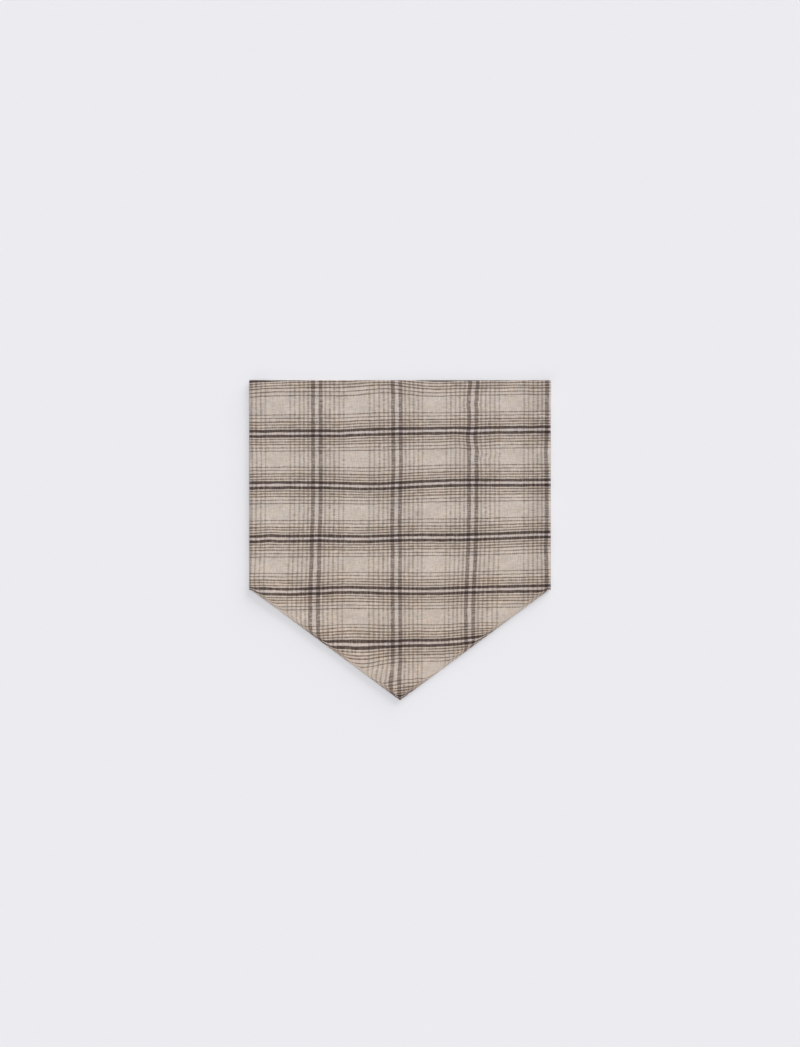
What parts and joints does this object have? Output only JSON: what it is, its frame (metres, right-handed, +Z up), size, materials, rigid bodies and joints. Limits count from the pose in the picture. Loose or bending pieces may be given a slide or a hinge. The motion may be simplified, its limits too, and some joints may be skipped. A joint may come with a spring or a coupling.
{
  "type": "folded triangle scarf",
  "caption": "Thin plaid cotton triangle scarf laid face up, its long tails folded flat behind it so that a straight-sided shape with a blunt point shows.",
  "frame": {"origin": "centre of the folded outline, on the surface that the lowest layer lies on", "axes": "+Z up out of the face, +Y towards the straight long edge, +X to the right of the face; the blunt point is at -Y"},
  "size_m": [0.311, 0.33, 0.0057],
  "materials": {
    "plaid_cotton": "soft yarn-dyed plain weave with a beige ground and dark brown and olive plaid lines"
  },
  "bodies": {
    "root": {"scarf": "plaid_cotton"}
  },
  "joints": []
}
